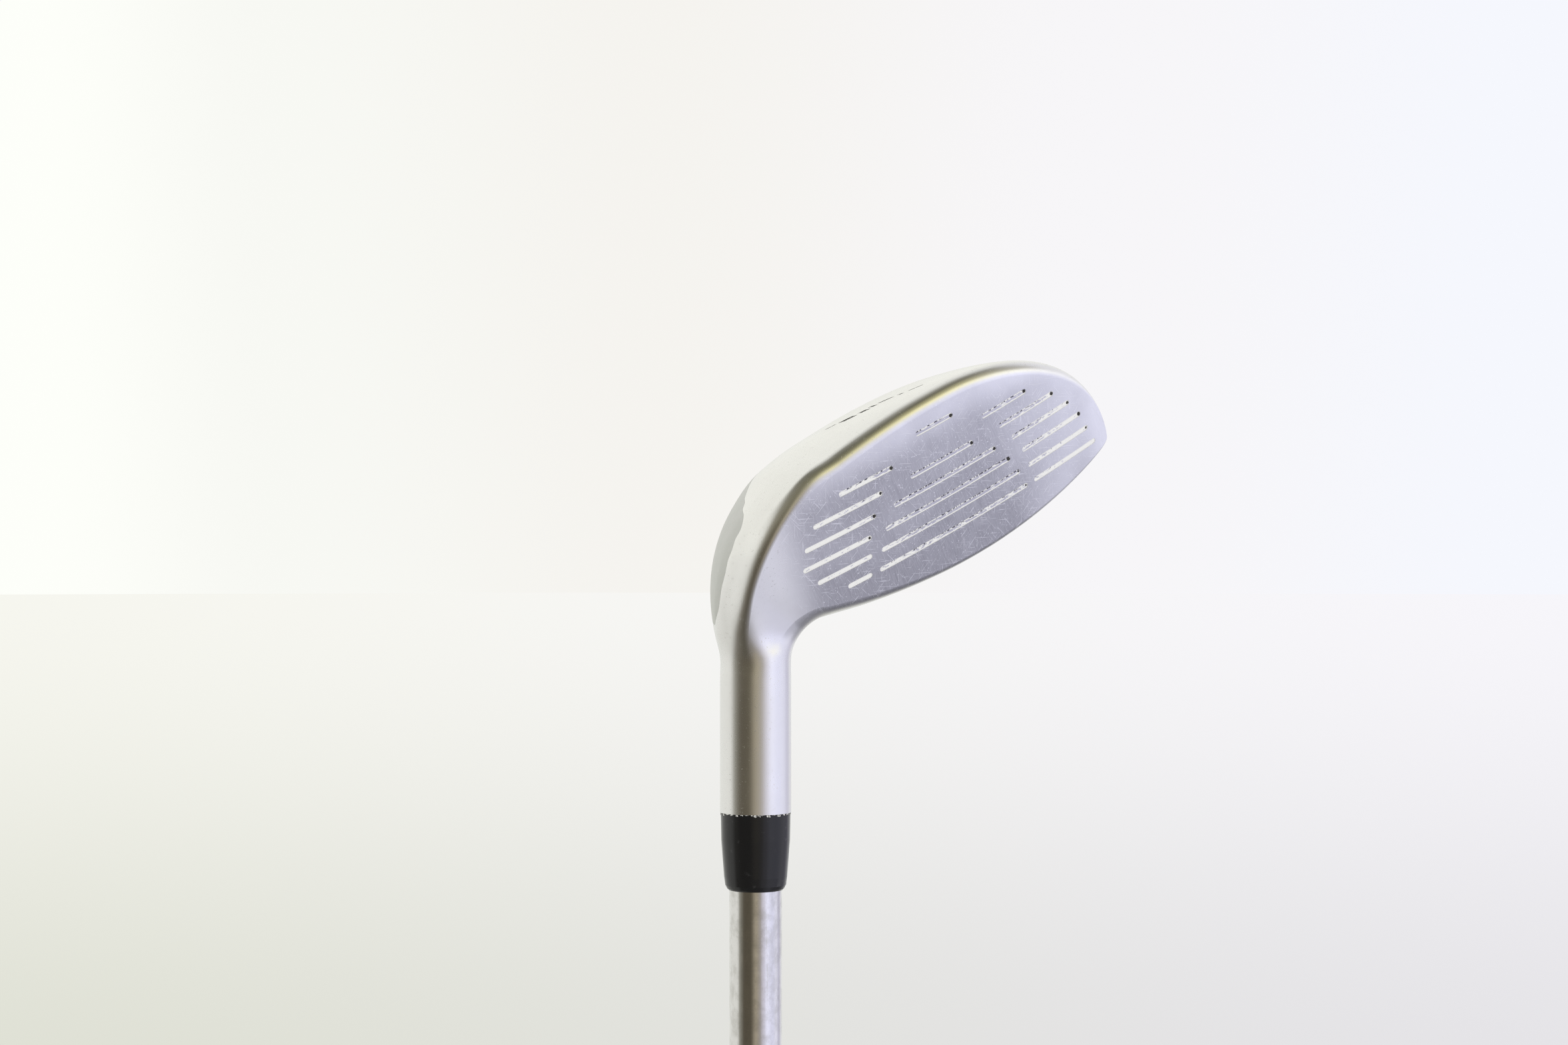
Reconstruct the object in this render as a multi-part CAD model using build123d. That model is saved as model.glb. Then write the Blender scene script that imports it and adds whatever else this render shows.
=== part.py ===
"""Right-handed hybrid golf club with a hollow steel head, a bonded steel shaft and a rubber grip.

Row frame: the shaft axis is +Z, with its origin at the middle of the grip's butt face and the
head at the top.  The face looks towards -Y and the toe points towards +X and up.
Head coordinates: toe (along the score lines), rear (+Y) and up (square to the ground at address),
measured from the ground point, where the shaft axis meets the ground.
"""
from build123d import *
import math
import os

# ---------------------------------------------------------------- driving dimensions (mm, degrees)
club_length = 1016.0            # butt face to the ground point, along the shaft (40 in)
lie_angle = 63.5                # shaft axis to the ground
loft_angle = 19.0               # face normal above the ground

face_centre = (26.1, -12.5, 20.0)   # toe, rear, up
face_radius = 314.0             # bulge and roll
face_thickness = 2.4
face_margin = 2.6               # from the edge of the face to the seam of its plate
sole_thickness = 5.0            # thick, to keep the weight low
skirt_thickness = 3.0
crown_thickness = 1.2

toe_tip = (65.3, -3.0, 29.8)    # outermost point of the toe: toe, rear, up
deepest_toe = 29.5              # toe coordinate where the sole is lowest and the head deepest
leading_edge_height = 6.7       # lower edge of the face above the ground
heel_camber_radius = 136.0      # arc of the leading edge from the middle to the heel
topline_height = 37.9
topline_toe = 30.0              # toe coordinate of the top of the topline arc
topline_radius = 135.0
topline_fullness = 3.0          # squareness of the topline's fall to the toe
rear_depth = 28.5               # rearmost point behind the shaft axis
rear_height = 20.0              # height of the rearmost point
heel_reach = 45.5               # from deepest_toe to where the rear outline closes at the heel
sole_fall = 8.5                 # slope of the sole behind the leading edge
# the lowest line of the sole at the heel, at deepest_toe and towards the toe: its distance behind
# the leading edge's rounding, and how flat the sole stays behind it
sole_low_offsets = (15.0, 2.2, 1.8)
sole_flatness = (1.1, 1.05, 0.35)
sole_toe_reach = 25.0           # from deepest_toe to where the toe's values hold
crown_rise = 14.0               # slope of the crown behind the topline
edge_radius = 2.5               # rounding of the leading edge
topline_edge_radius = 1.5       # rounding of the topline, in the middle and at the heel
topline_heel_edge_radius = 3.2
edge_break = 5.0                # crease between the ground face and its rounded border

# places of the sections that the skin of the head runs through
fan_turns = (0, 12, 26, 40, 52)  # degrees about the heel pivot, from the hosel towards the head
skin_toes = (6, 16, 26, 36, 45, 52.5, 58, 61.5, 63.6, 64.7, 65.15, 65.28)
cavity_turn = 50                # the hollow starts here, at the heel
cavity_toes = (6, 16, 26, 36, 45, 52.5, 57.5, 60.5)

hosel_diameter = 12.72
hosel_end = 66.2                # ground point to the hosel's open end, along the shaft
hosel_straight = 42.5           # ground point to the start of the blend into the head
heel_pivot = (16.0, 38.54)      # centre of the crown-side blend: X, and distance from ground point

bore_bottom = 34.2              # ground point to the bottom of the shaft bore
relief_diameter = 8.0           # hole from the shaft bore into the hollow head
relief_bottom = 17.5
bond_gap = 0.1                  # epoxy thickness on the radius
plug_length = 5.0
hot_melt_centre = (50.0, 4.0, 9.0)  # toe, rear, up
hot_melt_radius = 8.0

ledge_width = 1.8               # step in the body that the face plate rests on
crown_front_margin = 5.0        # from the topline to the seam of the crown
crown_rear_margin = 5.5         # from the rear outline to the seam of the crown

shaft_tip_diameter = 9.4        # 0.370 in parallel tip
shaft_butt_diameter = 15.24     # 0.600 in
shaft_wall = 0.42
shaft_steps = 16
step_length = 38.1
first_step = 742.0              # height of the first step above the parallel tip
step_taper = 1.2

ferrule_length = 13.8
# (distance below the mouth of the hosel, radius), down to the rounded lower edge
ferrule_profile = [(0.0, 6.25), (4.9, 6.15), (8.0, 5.92), (11.4, 5.66), (12.9, 5.45), (13.5, 5.15)]
ferrule_edge = 0.15
tip_weight_length = 16.0

grip_length = 267.0
grip_mouth_diameter = 17.6
grip_mark_depth = 0.35
grip_mark_start = 34.0
grip_mark_pitch = 7.0
grip_mark_widths = (5.0, 4.0, 3.0)
grip_mark_height = 2.2
# (height, radius) of the grip's outside, up to its mouth
grip_profile = [(8.0, 13.6), (40.0, 13.2), (120.0, 11.9), (200.0, 10.6), (250.0, 9.6)]
cap_thickness = 3.5             # rubber under the end of the shaft
cap_length = 8.0
vent_radius = 1.25
# (height, amount outside the lower end of the grip) of the cap's rounded bead
cap_profile = [(0.0, -1.2), (0.4, -0.2), (1.6, 0.9), (4.2, 1.2), (6.4, 0.7), (8.0, 0.0)]
tape_thickness = 0.2
band_length = 30.0
band_start = 289.0
band_thickness = 0.12

slot_width = 1.0
slot_depth = 0.5
slot_fill = 0.42                # thickness of the paint, which nearly fills each slot
slot_pitch = 3.6
# one row per level up the face: half length of the middle slot, and the inner and outer ends of
# the heel and toe slots, all along the score lines from the face centre
slot_rows = [
    (-3, 4.3, None, None, None),
    (-2, None, 10.4, 22.3, 21.5),
    (-1, 7.4, 13.7, 28.7, 27.7),
    (0, 12.1, 16.0, 31.4, 31.1),
    (1, 14.8, 17.9, 32.6, 33.4),
    (2, 16.5, 18.6, 30.4, 34.6),
    (3, 17.7, 19.4, 24.7, 36.0),
]

inlay_depth = 0.3               # the sole's paint lies in a shallow recess
# (toe, rear) round the painted panel of the sole: its uneven front edge, which starts from a
# point at the neck, then round the rear
panel_points = [
    (-21.9, 3.0), (-21.3, 0.9), (-20.2, -1.0), (-18.3, -2.0), (-17.0, -2.6), (-15.7, -2.8),
    (-14.4, -3.3), (-13.0, -3.4), (-11.8, -3.9), (-10.6, -3.7), (-9.3, -2.7), (-8.0, -0.9),
    (-7.3, -0.5), (-6.0, 1.2), (-4.8, 2.4), (3.0, 8.5),
    (16.0, 13.0), (30.0, 13.0), (44.0, 9.0), (56.0, 5.0), (66.0, 4.0), (66.0, 26.0),
    (40.0, 36.0), (10.0, 36.0), (-16.0, 24.0), (-21.6, 10.0),
]
panel_heights = (-2.0, 26.0)
# (toe, rear, length, width) of the plain slanting bars across the front of the sole
mark_bars = [
    (14.6, -0.8, 2.0, 0.5), (17.2, -3.2, 2.8, 1.5), (20.0, -4.8, 1.8, 1.3), (22.0, -5.0, 1.0, 1.4),
    (24.4, -6.0, 2.8, 0.7), (26.7, -7.8, 0.9, 0.7), (29.2, -9.4, 2.8, 0.4),
]
mark_turn = 30                  # degrees from the toe direction towards the front
mark_slant = 0.4                # each bar's long edges are shifted by this times its width
mark_heights = (-2.0, 6.0)

# ---------------------------------------------------------------- frames
lie = math.radians(lie_angle)
loft = math.radians(loft_angle)
toe_axis = Vector(math.sin(lie), 0, math.cos(lie))
rear_axis = Vector(0, 1, 0)
up_axis = Vector(math.cos(lie), 0, -math.sin(lie))
ground_point = Vector(0, 0, club_length)
pivot = Vector(heel_pivot[0], 0, club_length - heel_pivot[1])


def head_point(toe, rear, up):
    return ground_point + toe_axis * toe + rear_axis * rear + up_axis * up


def head_coordinates(point):
    offset = point - ground_point
    return offset.dot(toe_axis), offset.dot(rear_axis), offset.dot(up_axis)


face_origin = head_point(*face_centre)
face_normal = up_axis * math.sin(loft) - rear_axis * math.cos(loft)
face_up = up_axis * math.cos(loft) + rear_axis * math.sin(loft)
face_plane = Plane(origin=face_origin, x_dir=toe_axis, z_dir=toe_axis.cross(face_up))
sphere_centre = face_origin - face_normal * face_radius


def face_rear(toe, up):
    """Rear coordinate of the bulged face at a toe and up coordinate."""
    centre_toe, centre_rear, centre_up = head_coordinates(sphere_centre)
    across = (toe - centre_toe) ** 2 + (up - centre_up) ** 2
    return centre_rear - math.sqrt(face_radius ** 2 - across)


# ---------------------------------------------------------------- head sections
# A section is six joints in a plane, clockwise from the lower edge of the face: face bottom,
# face top, front of the crown, rearmost point, lowest point of the sole, front of the sole.
# Each joint is (rear, out, angle in, angle out, fullness in, fullness out).

def joint(rear, out, angle_in, angle_out=None, full_in=1.0, full_out=1.0):
    return (rear, out, angle_in, angle_in if angle_out is None else angle_out, full_in, full_out)


def polar(radius, angle):
    return radius * math.cos(math.radians(angle)), radius * math.sin(math.radians(angle))


def blend(first, second, share):
    return tuple(a + (b - a) * share for a, b in zip(first, second))


def ease(value):
    value = min(max(value, 0.0), 1.0)
    return value * value * (3 - 2 * value)


def circle_joints(centre_out):
    """The hosel's circle, split where the edges of the head run into it."""
    joints = []
    for angle in (218, 172, 100, 0, -70, -108):
        rear, out = polar(hosel_diameter / 2, angle)
        joints.append(joint(rear, centre_out + out, angle - 90))
    return joints


def toe_share(toe):
    """0 up to the deepest section, 1 at the tip of the toe."""
    return max(0.0, (toe - deepest_toe) / (toe_tip[0] - deepest_toe))


def heel_share(toe):
    """0 from the deepest section on, 1 in the section through the heel pivot."""
    pivot_toe = head_coordinates(pivot)[0]
    return max(0.0, (deepest_toe - toe) / (deepest_toe - pivot_toe))


def oval(share, power):
    return max(0.0, 1 - share ** power) ** (1 / power)


def face_bottom_height(toe):
    if toe > deepest_toe:
        return toe_tip[2] - (toe_tip[2] - leading_edge_height) * oval(toe_share(toe), 2)
    return leading_edge_height + (deepest_toe - toe) ** 2 / (2 * heel_camber_radius)


def topline(toe):
    arc = topline_height - (toe - topline_toe) ** 2 / (2 * topline_radius)
    return toe_tip[2] + (arc - toe_tip[2]) * oval(toe_share(toe), topline_fullness)


def rear_outline(toe):
    share = toe_share(toe) if toe > deepest_toe else (deepest_toe - toe) / heel_reach
    return toe_tip[1] + (rear_depth - toe_tip[1]) * oval(share, 2.2)


def corner(rear, out, angle, end_angle, radius):
    """The other end of an arc that leaves a point at an angle and turns to end_angle."""
    centre_rear, centre_out = polar(radius, angle - 90)
    end_rear, end_out = polar(radius, end_angle + 90)
    return rear + centre_rear + end_rear, out + centre_out + end_out


def along_sole(toe, values):
    """Value at a toe coordinate, from those at the heel, at deepest_toe and towards the toe."""
    heel_value, middle_value, toe_value = values
    if toe < deepest_toe:
        return middle_value + (heel_value - middle_value) * min(1.0, heel_share(toe))
    share = min(1.0, (toe - deepest_toe) / sole_toe_reach)
    return middle_value + (toe_value - middle_value) * share


def head_joints(toe):
    """Section square to the score lines; out is the height above the ground."""
    roundness = oval(toe_share(toe), 2)
    low_radius = edge_radius * (0.85 + 0.15 * roundness)
    heel_extra = (topline_heel_edge_radius - topline_edge_radius) * heel_share(toe)
    top_radius = (topline_edge_radius + heel_extra) * (0.3 + 0.7 * roundness)

    low = face_bottom_height(toe)
    high = topline(toe) - 0.75 * top_radius * roundness
    low_rear = face_rear(toe, low)
    high_rear = face_rear(toe, high)
    chord_angle = math.degrees(math.atan2(high - low, high_rear - low_rear))
    half_roll = math.degrees((high - low) / 2 / face_radius)
    low_angle = chord_angle + half_roll
    high_angle = chord_angle - half_roll

    crown_angle = crown_rise + 12 * (1 - roundness)
    crown = corner(high_rear, high, high_angle - edge_break, crown_angle, top_radius)
    sole_angle = 180 - sole_fall - 14 * (1 - roundness) - 360
    sole = corner(low_rear, low, low_angle + edge_break, sole_angle, low_radius)

    rear = rear_outline(toe)
    rear_up = rear_height + (toe_tip[2] - rear_height) * toe_share(toe) ** 2.5
    rear_up += 3.0 * heel_share(toe) ** 2
    low_offset = min(along_sole(toe, sole_low_offsets), 0.3 * (rear - sole[0]))
    drop = low_offset * math.tan(math.radians(sole_fall / 2))
    return [
        joint(low_rear, low, low_angle + edge_break, low_angle),
        joint(high_rear, high, high_angle, high_angle - edge_break),
        joint(crown[0], crown[1], crown_angle, full_out=1.2),
        joint(rear, rear_up, -90, full_in=0.8, full_out=0.75),
        joint(sole[0] + low_offset, sole[1] - drop, -180, full_in=along_sole(toe, sole_flatness)),
        joint(sole[0], sole[1], sole_angle),
    ]


def fan_joints(turn):
    """Section in a plane turned about the heel pivot: 0 at the hosel, lie_angle at the head."""
    pivot_toe, _, pivot_up = head_coordinates(pivot)
    hosel = circle_joints(-pivot.X)
    head = [joint(j[0], j[1] - pivot_up, *j[2:]) for j in head_joints(pivot_toe)]
    share = turn / lie_angle
    growth = (1.4, 1.15, 1.15, 1.15, 1.15, 1.4)
    mixed = [blend(a, b, share ** power) for a, b, power in zip(hosel, head, growth)]

    # the face carries on over the heel as one surface, and fades into the hosel
    on_face = ease(turn / 26.0)
    plane = fan_plane(turn)
    for index in (0, 1):
        place = plane.from_local_coords(Vector(mixed[index][0], mixed[index][1]))
        toe, _, up = head_coordinates(place)
        rear = face_rear(toe, up)
        step = head_coordinates(place + plane.y_dir)
        slope = math.degrees(math.atan2(1.0, face_rear(step[0], step[2]) - rear))
        if index == 0:
            flat = (rear, mixed[index][1], slope + edge_break, slope, 1.0, 1.0)
        else:
            flat = (rear, mixed[index][1], slope, slope - edge_break, 1.0, 1.0)
        mixed[index] = blend(mixed[index], flat, on_face)
    return mixed


def fan_plane(turn):
    angle = math.radians(turn)
    return Plane(origin=pivot, x_dir=rear_axis, z_dir=Vector(-math.sin(angle), 0, -math.cos(angle)))


def hosel_plane(distance):
    return Plane(origin=(0, 0, club_length - distance), x_dir=rear_axis, z_dir=(0, 0, -1))


def toe_plane(toe):
    return Plane(origin=head_point(toe, 0, 0), x_dir=rear_axis, z_dir=-toe_axis)


# ---------------------------------------------------------------- skinning
def arc_share(turn):
    """Length of a cubic curve's handle over its chord, for an arc that turns by this angle."""
    turn = math.radians(abs(turn))
    if turn < 0.001:
        return 1 / 3
    return 2 / 3 * math.tan(turn / 4) / math.sin(turn / 2)


def section_curves(plane, joints):
    """Four control points for each of the six edges of a section."""
    curves = []
    for index, start in enumerate(joints):
        end = joints[(index + 1) % len(joints)]
        full_turn = 360 if index == len(joints) - 1 else 0
        chord = math.hypot(end[0] - start[0], end[1] - start[1])
        handle = chord * arc_share(end[2] - full_turn - start[3])
        out_rear, out_up = polar(handle * start[5], start[3])
        in_rear, in_up = polar(handle * end[4], end[2])
        points = [
            (start[0], start[1]),
            (start[0] + out_rear, start[1] + out_up),
            (end[0] - in_rear, end[1] - in_up),
            (end[0], end[1]),
        ]
        curves.append([plane.from_local_coords(Vector(*point)) for point in points])
    return curves


def mean_distance(first, second):
    total = 0.0
    for curve_a, curve_b in zip(first, second):
        total += sum((a - b).length for a, b in zip(curve_a, curve_b)) / 4
    return total / len(first)


def slope_at(index, edge, point, sections, lengths, start_slope):
    """Rate of travel of one control point along the head, for a smooth skin."""
    here = sections[index][edge][point]
    if index == 0:
        if start_slope is not None:
            return start_slope
        return (sections[1][edge][point] - here) / lengths[0]
    before = (here - sections[index - 1][edge][point]) / lengths[index - 1]
    if index == len(sections) - 1:
        return before
    after = (sections[index + 1][edge][point] - here) / lengths[index]
    if start_slope is not None and index == 1:
        return start_slope
    weight = lengths[index - 1] / (lengths[index - 1] + lengths[index])
    return before * (1 - weight) + after * weight


def skin(sections, start_slope=None):
    """Closed solid through the sections, made of one curved face for each edge of each span."""
    lengths = [mean_distance(a, b) for a, b in zip(sections, sections[1:])]
    faces = []
    for index in range(len(sections) - 1):
        third = lengths[index] / 3
        for edge in range(6):
            rows = [[], [], [], []]
            for point in range(4):
                first = sections[index][edge][point]
                last = sections[index + 1][edge][point]
                leave = slope_at(index, edge, point, sections, lengths, start_slope)
                arrive = slope_at(index + 1, edge, point, sections, lengths, start_slope)
                rows[0].append(first)
                rows[1].append(first + leave * third)
                rows[2].append(last - arrive * third)
                rows[3].append(last)
            faces.append(Face.make_bezier_surface(rows))
    for end in (sections[0], sections[-1]):
        faces.append(Face(Wire([Edge.make_bezier(*curve) for curve in end])))
    return Solid(Shell(faces))


def inset(joints, depth):
    """The same section a little smaller, as under a layer of this depth."""
    moved = []
    for rear, out, angle_in, angle_out, full_in, full_out in joints:
        step = polar(depth, (angle_in + angle_out) / 2 - 90)
        moved.append((rear + step[0], out + step[1], angle_in, angle_out, full_in, full_out))
    return moved


def head_skin(depth=0.0):
    """The outside of the whole head, or the surface at a depth under it."""
    ends = (hosel_end - depth, hosel_straight)
    sections = [section_curves(hosel_plane(d), inset(circle_joints(0.0), depth)) for d in ends]
    for turn in fan_turns:
        sections.append(section_curves(fan_plane(turn), inset(fan_joints(turn), depth)))
    pivot_toe = head_coordinates(pivot)[0]
    for toe in (pivot_toe, *skin_toes):
        if toe_tip[0] - toe > depth * 1.2:
            sections.append(section_curves(toe_plane(toe), inset(head_joints(toe), depth)))
    return skin(sections, start_slope=Vector(0, 0, 1))


def cavity_joints(joints):
    """A section of the hollow: each joint moved in by the wall and along to clear the corners."""
    walls = (
        (face_thickness + 1.0, 3.2),
        (face_thickness + 1.0, -3.4),
        (crown_thickness, 4.2),
        (skirt_thickness, 0.0),
        (sole_thickness, -4.0),
        (sole_thickness, -3.6),
    )
    moved = []
    for (rear, out, angle_in, angle_out, full_in, full_out), (depth, slide) in zip(joints, walls):
        angle = (angle_in + angle_out) / 2
        inward = polar(depth, angle - 90)
        along = polar(slide, angle)
        moved.append((rear + inward[0] + along[0], out + inward[1] + along[1], angle, angle,
                      full_in, full_out))
    return moved


def head_cavity():
    pivot_toe = head_coordinates(pivot)[0]
    sections = [section_curves(fan_plane(cavity_turn), cavity_joints(fan_joints(cavity_turn)))]
    for toe in (pivot_toe, *cavity_toes):
        sections.append(section_curves(toe_plane(toe), cavity_joints(head_joints(toe))))
    return skin(sections)


def prism(plane, points, start, end):
    """Closed smooth outline on a plane, extruded between two heights over the plane."""
    outline = Edge.make_spline([plane.from_local_coords(Vector(x, y)) for x, y in points],
                               periodic=True)
    floor = Face(Wire([outline])).moved(Location(plane.z_dir * start))
    return Solid.extrude(floor, plane.z_dir * (end - start))


def face_opening(margin, start, end):
    """Prism square to the face, inside its outline by a margin; start and end run to the rear."""
    lower = [(toe, face_bottom_height(toe) + margin) for toe in (4, 14, 26, 38, 48, 56)]
    upper = [(toe, topline(toe) - margin - 0.6) for toe in (56, 46, 34, 22, 10, 0)]
    sides = [(61.5 - margin * 0.4, 29.0)], [(-5.5 + margin, 17.0 + margin)]
    points = []
    for toe, up in lower + sides[0] + upper + sides[1]:
        place = head_point(toe, face_rear(toe, up), up) - face_origin
        points.append((place.dot(toe_axis), place.dot(face_up)))
    return prism(face_plane, points, start, end)


def ball(depth):
    """Everything deeper than this behind the face."""
    return Solid.make_sphere(face_radius - depth, Plane(origin=sphere_centre, z_dir=face_normal))


def crown_opening():
    """Upright prism inside the topline and the rear edge of the crown."""
    front = []
    for toe in (4, 16, 28, 40, 50):
        front.append((toe, face_rear(toe, topline(toe)) + crown_front_margin))
    back = [(toe, rear_outline(toe) - crown_rear_margin) for toe in (50, 40, 26, 12, 0)]
    sides = [(57.5, 2.5)], [(-6.0, 6.0)]
    points = [(toe, -rear) for toe, rear in front + sides[0] + back + sides[1]]
    return prism(level_plane, points, rear_height + 2.0, topline_height + 7.0)


def slot_prisms():
    """The score lines: round-ended prisms square to the face, reaching 3 mm behind it."""
    prisms = []
    for level, middle, inner, heel, toe in slot_rows:
        spans = []
        if middle:
            spans.append((-middle, middle))
        if inner:
            spans += [(-heel, -inner), (inner, toe)]
        for first, last in spans:
            centre = face_plane.from_local_coords(Vector((first + last) / 2, level * slot_pitch, -5))
            plane = Plane(origin=centre, x_dir=toe_axis, z_dir=face_plane.z_dir)
            shape = plane * SlotOverall(last - first, slot_width)
            prisms.append(Solid.extrude(shape.face(), face_plane.z_dir * 10.0))
    return prisms


# ---------------------------------------------------------------- sole decoration
level_plane = Plane(origin=head_point(0, 0, 0), x_dir=toe_axis, z_dir=up_axis)


def sole_panel_prism():
    return prism(level_plane, [(toe, -rear) for toe, rear in panel_points], *panel_heights)


def sole_mark_prisms():
    """A row of plain slanting bars across the front of the sole."""
    marks = []
    for toe, rear, length, width in mark_bars:
        centre = level_plane.from_local_coords(Vector(toe, -rear, mark_heights[0]))
        plane = Plane(origin=centre, x_dir=toe_axis, z_dir=up_axis)
        half, side, shift = length / 2, width / 2, width * mark_slant
        front = [(-half - shift, -side), (half - shift, -side)]
        back = [(half + shift, side), (shift - half, side)]
        shape = plane * Rot(0, 0, mark_turn) * Polygon(*front, *back)
        marks.append(Solid.extrude(shape.face(), up_axis * (mark_heights[1] - mark_heights[0])))
    return marks


# ---------------------------------------------------------------- turned parts along the shaft
def turned(points):
    """Solid of revolution from (height, radius) points; a closed outline."""
    outline = Polyline(*[(radius, 0, height) for height, radius in points], close=True)
    return Solid.revolve(Face(Wire(outline.edges())), 360, Axis.Z)


def shaft_profile(offset, bottom, top):
    """(height, radius) of the stepped shaft's outside, plus an offset, between two heights."""
    growth = (shaft_butt_diameter - shaft_tip_diameter) / 2 / shaft_steps
    radius = shaft_butt_diameter / 2 + offset
    points = [(bottom, radius)]
    for index in range(shaft_steps):
        height = first_step - (shaft_steps - 1 - index) * step_length
        if bottom < height < top - step_taper:
            points.append((height, radius))
            points.append((height + step_taper, radius - growth))
        radius -= growth
        if height + step_taper <= bottom:
            points[0] = (bottom, radius)
    points.append((top, points[-1][1]))
    return points


shaft_top = club_length - bore_bottom
hosel_mouth = club_length - hosel_end


def make_shaft():
    outside = shaft_profile(0.0, cap_thickness, shaft_top)
    inside = shaft_profile(-shaft_wall, cap_thickness, shaft_top)
    return turned(outside + inside[::-1])


def make_tape():
    outside = shaft_profile(tape_thickness, cap_thickness, grip_length)
    inside = shaft_profile(0.0, cap_thickness, grip_length)
    return turned(outside + inside[::-1])


def make_grip():
    inside = shaft_profile(tape_thickness, cap_length, grip_length)
    outside = grip_profile + [(grip_length, grip_mouth_diameter / 2)]
    return turned(outside + inside[::-1])


def make_cap():
    """The closed lower end of the grip, with its vent hole."""
    seat = shaft_butt_diameter / 2 + tape_thickness
    rim = grip_profile[0][1]
    outside = [(height, rim + proud) for height, proud in cap_profile]
    inside = [(cap_length, seat), (cap_thickness, seat), (cap_thickness, vent_radius)]
    return turned([(0.0, vent_radius)] + outside + inside)


def make_ferrule():
    bore = shaft_tip_diameter / 2
    outside = ferrule_profile + [(ferrule_length, bore + ferrule_edge)]
    points = [(0.0, bore)] + outside + [(ferrule_length, bore)]
    return turned([(hosel_mouth - distance, radius) for distance, radius in points])


def make_grip_marks(grip):
    """Three small plain bars let into the grip above the mouth, on the side of the face."""
    outside = grip_profile + [(grip_length, grip_mouth_diameter / 2)]
    under = [(height, radius - grip_mark_depth) for height, radius in outside]
    core = turned(under + [(grip_length, 0.0), (grip_profile[0][0], 0.0)])
    reach = grip_profile[0][1] + 5.0
    marks = []
    for index, width in enumerate(grip_mark_widths):
        height = grip_length - grip_mark_start - index * grip_mark_pitch
        bar = Pos(0, -reach / 2, height) * Box(width, reach, grip_mark_height)
        marks.append((bar & grip) - core)
    return marks


def group(shapes):
    solids = [solid for shape in shapes for solid in shape.solids()]
    return Compound(solids) if len(solids) > 1 else solids[0]


def upright_cylinder(bottom, top, radius):
    return Pos(0, 0, (bottom + top) / 2) * Cylinder(radius, top - bottom)


def make_head():
    """The parts of the head: cast body, face, crown, paint and what is inside."""
    outside = head_skin()
    cavity = head_cavity()
    bore_radius = shaft_tip_diameter / 2 + bond_gap
    relief_top = club_length - relief_bottom
    bore = upright_cylinder(hosel_mouth, shaft_top, bore_radius)
    relief = upright_cylinder(shaft_top, relief_top, relief_diameter / 2)
    shell = outside - cavity - bore - relief

    crown = crown_opening()
    face_seat = face_opening(face_margin, -6, 8) - ball(face_thickness)
    face_ledge = face_opening(face_margin + ledge_width, -6, 10)
    face_plate = outside & face_seat
    slots = [slot - ball(slot_depth) for slot in slot_prisms()]
    paint = [slot & ball(slot_depth - slot_fill) for slot in slots]
    layer = outside - head_skin(inlay_depth)
    panel = layer & sole_panel_prism()
    marks = [layer & mark for mark in sole_mark_prisms()]

    openings = [crown, face_seat, face_ledge, panel, *marks, *slots]
    body = shell - openings
    plug = upright_cylinder(shaft_top, shaft_top + plug_length, relief_diameter / 2)
    bond = upright_cylinder(hosel_mouth, shaft_top, bore_radius)
    bond -= upright_cylinder(hosel_mouth, shaft_top, shaft_tip_diameter / 2)
    blob = Pos(*head_point(*hot_melt_centre)) * Sphere(hot_melt_radius)
    return {
        "head_body": body,
        "face_plate": face_plate - slots,
        "score_line_paint": group(paint),
        "crown_plate": shell & crown,
        "sole_paint_panel": panel,
        "sole_mark_paint": group(marks),
        "hosel_plug": plug,
        "epoxy_bond": bond,
        "hot_melt": cavity & blob,
    }


def make_club():
    nodes = make_head()
    nodes["ferrule"] = make_ferrule()
    nodes["shaft"] = make_shaft()
    weight_radius = shaft_tip_diameter / 2 - shaft_wall
    nodes["tip_weight"] = upright_cylinder(shaft_top - tip_weight_length, shaft_top, weight_radius)
    band_radius = shaft_profile(0.0, band_start, band_start + band_length)[0][1]
    band = upright_cylinder(band_start, band_start + band_length, band_radius + band_thickness)
    nodes["shaft_band"] = band - upright_cylinder(0, first_step, band_radius)
    nodes["grip_tape"] = make_tape()
    grip = make_grip()
    marks = make_grip_marks(grip)
    nodes["grip_sleeve"] = grip - group(marks)
    nodes["grip_mark_paint"] = group(marks)
    nodes["grip_cap"] = make_cap()
    return nodes


if __name__ == "__main__":
    os.makedirs("parts", exist_ok=True)
    for name, shape in make_club().items():
        solids = shape.solids()
        print(name, len(solids), all(solid.is_valid for solid in solids), round(shape.volume, 1))
        export_step(shape, f"parts/{name}.step")
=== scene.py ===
"""Looks of the hybrid golf club: its surfaces, the studio and the camera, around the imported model.

Blender works in metres.  The head's own measures are in millimetres, in the row frame: the shaft
axis is +Z, the head is at the top, the face looks towards -Y and the toe points towards +X.
"""
import math
import random

import bpy
import numpy as np
from mathutils import Matrix, Vector
from mathutils.bvhtree import BVHTree
from mathutils.interpolate import poly_3d_calc


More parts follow.
